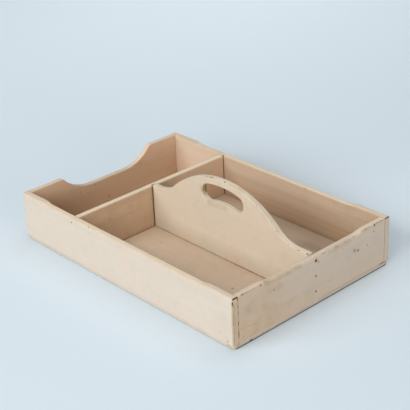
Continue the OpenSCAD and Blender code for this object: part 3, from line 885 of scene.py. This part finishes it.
class KNIFETRAY_OT_handle(bpy.types.Operator):
    """Lengthways divider that rises into the arched handle, with its kidney-shaped hand hole"""
    bl_idname = "knife_tray.handle"
    bl_label = "Handle divider"

    def execute(self, context):
        shape = context.scene.tray_shape
        low, high = (np.array(corner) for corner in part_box("handle_divider"))
        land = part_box("front_side")[1].z
        feet = (low[0] + shape.left_land, high[0] - shape.right_land)
        mid, half, rise = (feet[0] + feet[1]) / 2, (feet[1] - feet[0]) / 2, high[2] - land
        crown_r = (half ** 2 + rise ** 2) / (2 * rise) - shape.foot_curve
        crown = (mid, high[2] - crown_r)

        def column(x):
            """Height of the wood at a place along the divider: the arch with a hollow at each foot."""
            return high[2] - low[2] - step_depth(np.abs(x - mid), rise, crown_r, shape.foot_curve)

        def stretch(flat):
            """A place in a plain rectangle carried to the divider, each column stretched to the arch."""
            return np.stack([flat[..., 0], low[2] + flat[..., 1] * column(flat[..., 0])], axis=-1)

        def squeeze(places):
            """The way back from the divider to the plain rectangle."""
            return np.stack([places[..., 0], (places[..., 1] - low[2]) / column(places[..., 0])], axis=-1)

        # The outer line is the rectangle's, anticlockwise from the top of the arch, in so many steps a side
        left, right = low[0] + shape.divider_gap, high[0]
        corners = [(mid, 1), (left, 1), (left, 0), (right, 0), (right, 1), (mid, 1)]
        steps = (150, 40, 130, 40, 160)
        outer = stretch(loop_of([np.linspace(a, b, n + 1) for a, b, n in zip(corners, corners[1:], steps)]))

        # The hole: its top follows the arch, its ends are round, and its lower edge swells up between them
        top_r, end_r, span = crown_r - shape.grip_height, shape.hole_end, shape.hole_span / 2
        end_z = crown[1] + math.sqrt((top_r - end_r) ** 2 - span ** 2)
        drop = end_r - shape.hole_swell
        swell_r = (span ** 2 + drop ** 2 - end_r ** 2) / (2 * shape.hole_swell)
        swell = (mid, end_z - drop - swell_r)
        lean = math.degrees(math.atan2(span, end_z - crown[1]))
        tuck = math.degrees(math.atan2(end_z - swell[1], span))
        top_steps, end_steps, swell_steps = 80, 120, 90
        rim = loop_of([
            arc_line(crown, top_r, 90, 90 + lean, top_steps),
            arc_line((mid - span, end_z), end_r, 90 + lean, 360 - tuck, end_steps),
            arc_line(swell, swell_r, 180 - tuck, tuck, swell_steps),
            arc_line((mid + span, end_z), end_r, 180 + tuck, 450 - lean, end_steps),
            arc_line(crown, top_r, 90 - lean, 90, top_steps),
        ])

        # Each outer point belongs to the rim's point in the same direction from the hole's middle
        centre = squeeze(np.array((mid, end_z)))

        def bearing(line):
            way = (squeeze(line) - centre) * np.array((1, high[2] - low[2]))
            return np.unwrap(np.arctan2(way[:, 1], way[:, 0]))

        turned = bearing(rim)
        turned, rim = np.r_[turned, turned[0] + 2 * np.pi], np.concatenate([rim, rim[:1]])
        hole = np.stack([np.interp(bearing(outer), turned, rim[:, axis]) for axis in (0, 1)], axis=-1)
        hole_out = loop_out(hole)

        line = np.stack([outer[:, 0], np.zeros(len(outer)), outer[:, 1]], axis=-1)
        uneven = 0.8 + 0.4 * value_noise(line, 40 * MM, seed=21)
        brow_r = HANDLED * shape.rubbed_edge * uneven
        below = low[2] + column(outer[:, 0]) - outer[:, 1]
        outer_r = np.maximum(brow_r - below, shape.sharp_edge)[:, None]

        # The outer line drawn in by the radius of its edge, downwards along the top
        brim_x = np.clip(outer[:, 0], left + shape.sharp_edge, right - shape.sharp_edge)
        brim_z = np.clip(outer[:, 1], low[2] + shape.sharp_edge, low[2] + column(brim_x) - brow_r)
        brim = np.stack([brim_x, brim_z], axis=-1)

        # Rows from the middle of the hole's wall, over the face, closer near both edges, to the middle of the
        # outer edge
        half_t = high[1]
        turn = np.linspace(0, np.pi / 2, ARC + 1)
        wall_rows, face_rows = 5, 50
        wall = np.linspace(0, 1, wall_rows)[:-1]
        share = smooth(-0.1, 1.1, np.linspace(0, 1, face_rows))[:, None, None]
        share = ((share - share[0]) / (share[-1] - share[0]))[1:-1]
        bevel = (1 - np.cos(turn))[:, None, None]
        inset = (1 - np.sin(turn))[:, None]

        def half_skin(way, hole_r):
            """Half of the divider's skin, on the side of its middle that way gives, and its distances to the
            edges."""
            first, last = squeeze(hole + hole_out * hole_r), squeeze(brim)
            plan = np.concatenate([
                np.tile(hole, (len(wall), 1, 1)),
                hole + hole_out * hole_r * bevel,
                stretch(first + share * (last - first)),
                outer + (brim - outer) * bevel[::-1],
                np.tile(outer, (len(wall), 1, 1)),
            ])
            depth = np.concatenate([
                np.tile(wall[:, None] * (half_t - hole_r), len(outer)),
                np.tile(half_t - hole_r * inset, len(outer)),
                np.full((len(share), len(outer)), half_t),
                half_t - outer_r[:, 0] * inset[::-1],
                wall[::-1, None] * (half_t - outer_r[:, 0]),
            ])
            rim_way = np.linalg.norm(plan - hole, axis=-1)
            outer_way = np.linalg.norm(plan - outer, axis=-1)
            edge = np.maximum(np.minimum(rim_way, outer_way), half_t - depth) / MM
            return np.stack([plan[..., 0], way * depth, plan[..., 1]], axis=-1).swapaxes(0, 1), edge.T

        front, front_edge = half_skin(-1, shape.hole_front_edge)
        back, back_edge = half_skin(1, shape.hole_back_edge)
        points = np.concatenate([front, back[:, -2:0:-1]], axis=1)
        edge = np.concatenate([front_edge, back_edge[:, -2:0:-1]], axis=1)
        moved, fields = scarred(points, edge, rub_and_top_light=0.4, marks=HANDLE_MARKS, wander=shape.wander, ring=True)
        piece = skin("handle_divider_painted", moved, fields, ring=True)
        dress(piece, "handle_divider", paint_of("grip"))
        return {"FINISHED"}


class KNIFETRAY_OT_bottom(bpy.types.Operator):
    """Bottom board, nailed on from below, with rounded corners"""
    bl_idname = "knife_tray.bottom"
    bl_label = "Bottom board"

    def execute(self, context):
        shape = context.scene.tray_shape
        low, high = (np.array(corner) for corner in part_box("bottom_board"))
        corner, foot, sharp = shape.bottom_corner, shape.foot_edge, shape.sharp_edge

        def half_w(along):
            past = np.clip(np.abs(along) - (high[0] - corner), 0, corner)
            return high[1] - corner + np.sqrt(corner ** 2 - past ** 2)

        def radii(along):
            return np.tile((foot, foot, sharp, sharp), (len(along), 1))

        def level(along):
            return np.full_like(along, high[2])

        points = board_grid(high[0], half_w, low[2], level, radii, (sharp, sharp), spacing=1.6 * MM,
                            rows=(90, 6, 180, 6))
        # Its edges are joints or stand on the table, so every point is far from an edge that hands have
        # rubbed
        far_mm = 9.0
        edge = np.full(points.shape[:-1], far_mm)
        # Scouring has kept the floor flatter than the other faces
        wander = 0.5 * shape.wander
        moved, fields = scarred(points, edge, rub_and_top_light=0.0, marks=FLOOR_MARKS, wander=wander)
        piece = skin("bottom_board_painted", moved, fields)
        dress(piece, "bottom_board", paint_of("floor"))
        return {"FINISHED"}


class KNIFETRAY_OT_nails(bpy.types.Operator):
    """Rusted iron on every row of nails"""
    bl_idname = "knife_tray.nails"
    bl_label = "Nails"

    def execute(self, context):
        rows = [node for name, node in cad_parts.items() if name.endswith("_nails")]
        if not rows:
            raise RuntimeError("The frame has no rows of nails")
        material = rusted_iron()
        for row in rows:
            row.data.materials.clear()
            row.data.materials.append(material)
        return {"FINISHED"}


class KNIFETRAY_OT_stage(bpy.types.Operator):
    """Paper floor, soft lamps and the camera"""
    bl_idname = "knife_tray.stage"
    bl_label = "Stage"

    def execute(self, context):
        stage = context.scene.tray_stage
        scene = context.scene
        scene.view_settings.view_transform = "Standard"

        # The floor lies just under the tray, so that the two don't share a plane
        reach, under = 2.4, -0.5 * MM
        mesh = bpy.data.meshes.new("paper_floor")
        corners = [(x * reach, y * reach, under) for x, y in ((-1, -1), (1, -1), (1, 1), (-1, 1))]
        mesh.from_pydata(corners, [], [(0, 1, 2, 3)])
        floor = bpy.data.objects.new("paper_floor", mesh)
        scene.collection.objects.link(floor)
        # Paper without gloss; its fibres are drawn coarser than real ones so that they show
        material, tree = new_material("Seamless paper, matt")
        place = add(tree, "ShaderNodeTexCoord", out="Object")
        fibre_mm = 0.8
        inputs = {"Vector": place, "Scale": 1 / (fibre_mm * MM), "Detail": 2.0}
        fibres = add(tree, "ShaderNodeTexNoise", inputs)
        deeper = [0.96 * part for part in stage.paper]
        tone = add(tree, "ShaderNodeMix", {0: fibres, 6: rgba(stage.paper), 7: rgba(deeper)}, **TINT)
        inputs = {"Base Color": tone, "Roughness": 0.9, "Specular IOR Level": 0.1}
        surface = add(tree, "ShaderNodeBsdfPrincipled", inputs)
        add(tree, "ShaderNodeOutputMaterial", {"Surface": surface})
        mesh.materials.append(material)

        world = bpy.data.worlds.new("Studio")
        scene.world = world
        world.use_nodes = True
        tree = world.node_tree
        tree.nodes.clear()
        light = add(tree, "ShaderNodeBackground", {"Color": (1.0, 1.0, 1.0, 1.0), "Strength": stage.sky})
        seen = add(tree, "ShaderNodeBackground", {"Color": rgba(stage.paper), "Strength": 1.0})
        # The camera, gloss and glass see the paper's colour, and the rest of the light is the even sky
        rays = add(tree, "ShaderNodeLightPath").node.outputs
        direct = rays["Is Camera Ray"]
        for ray in ("Is Glossy Ray", "Is Transmission Ray"):
            direct = add(tree, "ShaderNodeMath", {0: direct, 1: rays[ray]}, **MOST)
        both = add(tree, "ShaderNodeMixShader", {0: direct, 1: light, 2: seen})
        add(tree, "ShaderNodeOutputWorld", {"Surface": both})

        def turned(place, back, side):
            """The matrix of something at a place, from its side axis and the axis away from its aim."""
            axes = np.stack([side, np.cross(back, side), back], axis=1)
            return Matrix.Translation(place) @ Matrix(axes.tolist()).to_4x4()

        def lamp(name, place, aim, size, watts, spread=180):
            """A soft lamp at a place, turned to a point, with its width and height, and its spread in
            degrees."""
            light = bpy.data.lights.new(name, "AREA")
            light.shape = "RECTANGLE"
            light.size, light.size_y = size
            light.energy = watts
            light.spread = math.radians(spread)
            holder = bpy.data.objects.new(name, light)
            back = np.array(place) - np.array(aim)
            back = back / np.linalg.norm(back)
            side = np.cross((0, 0, 1), back)
            holder.matrix_world = turned(place, back, side / np.linalg.norm(side))
            scene.collection.objects.link(holder)

        lamp("front_lamp", (0.1, -4.1, 2.35), (0, 0, 0.05), (6.4, 2.5), stage.front_power)
        lamp("side_lamp", (4.6, -0.8, 0.9), (0, 0, 0.05), (1.7, 1.7), stage.side_power)
        lamp("top_lamp", (-0.3, 1.5, 4.1), (0, 0, 0), (3.0, 3.0), stage.top_power)
        lamp("far_lamp", (-1.0, 1.2, 2.5), (-1.0, 1.0, 0), (0.8, 0.8), stage.far_power, spread=50)
        lamp("back_lamp", (0.45, 1.2, 1.5), (0.14, 0.24, 0), (0.2, 0.2), stage.back_power, spread=13)

        data = bpy.data.cameras.new("view")
        data.sensor_width = 36
        data.lens = stage.lens
        camera = bpy.data.objects.new("view", data)
        scene.collection.objects.link(camera)
        turn, tilt = stage.azimuth, stage.elevation
        back = np.array((math.sin(turn) * math.cos(tilt), -math.cos(turn) * math.cos(tilt), math.sin(tilt)))
        side = np.array((math.cos(turn), math.sin(turn), 0))
        rolled = math.cos(stage.roll) * side + math.sin(stage.roll) * np.cross(back, side)
        place = np.array(stage.aim) + stage.distance * back
        camera.matrix_world = turned(place.tolist(), back, rolled)
        scene.camera = camera
        return {"FINISHED"}


PIECES = (
    KNIFETRAY_OT_long_sides, KNIFETRAY_OT_ends, KNIFETRAY_OT_partition, KNIFETRAY_OT_handle,
    KNIFETRAY_OT_bottom, KNIFETRAY_OT_nails, KNIFETRAY_OT_stage,
)


class KNIFETRAY_PT_panel(bpy.types.Panel):
    """The tray's pieces, sizes and colours"""
    bl_idname = "KNIFETRAY_PT_panel"
    bl_label = "Knife tray"
    bl_space_type = "VIEW_3D"
    bl_region_type = "UI"
    bl_category = "Knife tray"

    def draw(self, context):
        for operator in PIECES:
            self.layout.operator(operator.bl_idname)
        for group, kind in GROUPS.items():
            column = self.layout.column()
            for name in kind.__annotations__:
                column.prop(getattr(context.scene, group), name)


CLASSES = (*GROUPS.values(), *PIECES, KNIFETRAY_PT_panel)


def register():
    for kind in CLASSES:
        bpy.utils.register_class(kind)
    for group, kind in GROUPS.items():
        setattr(bpy.types.Scene, group, bpy.props.PointerProperty(type=kind))


def unregister():
    for group in GROUPS:
        delattr(bpy.types.Scene, group)
    for kind in reversed(CLASSES):
        bpy.utils.unregister_class(kind)


def main():
    register()
    for operator in PIECES:
        getattr(bpy.ops.knife_tray, operator.bl_idname.split(".")[1])()


if __name__ == "__main__":
    main()
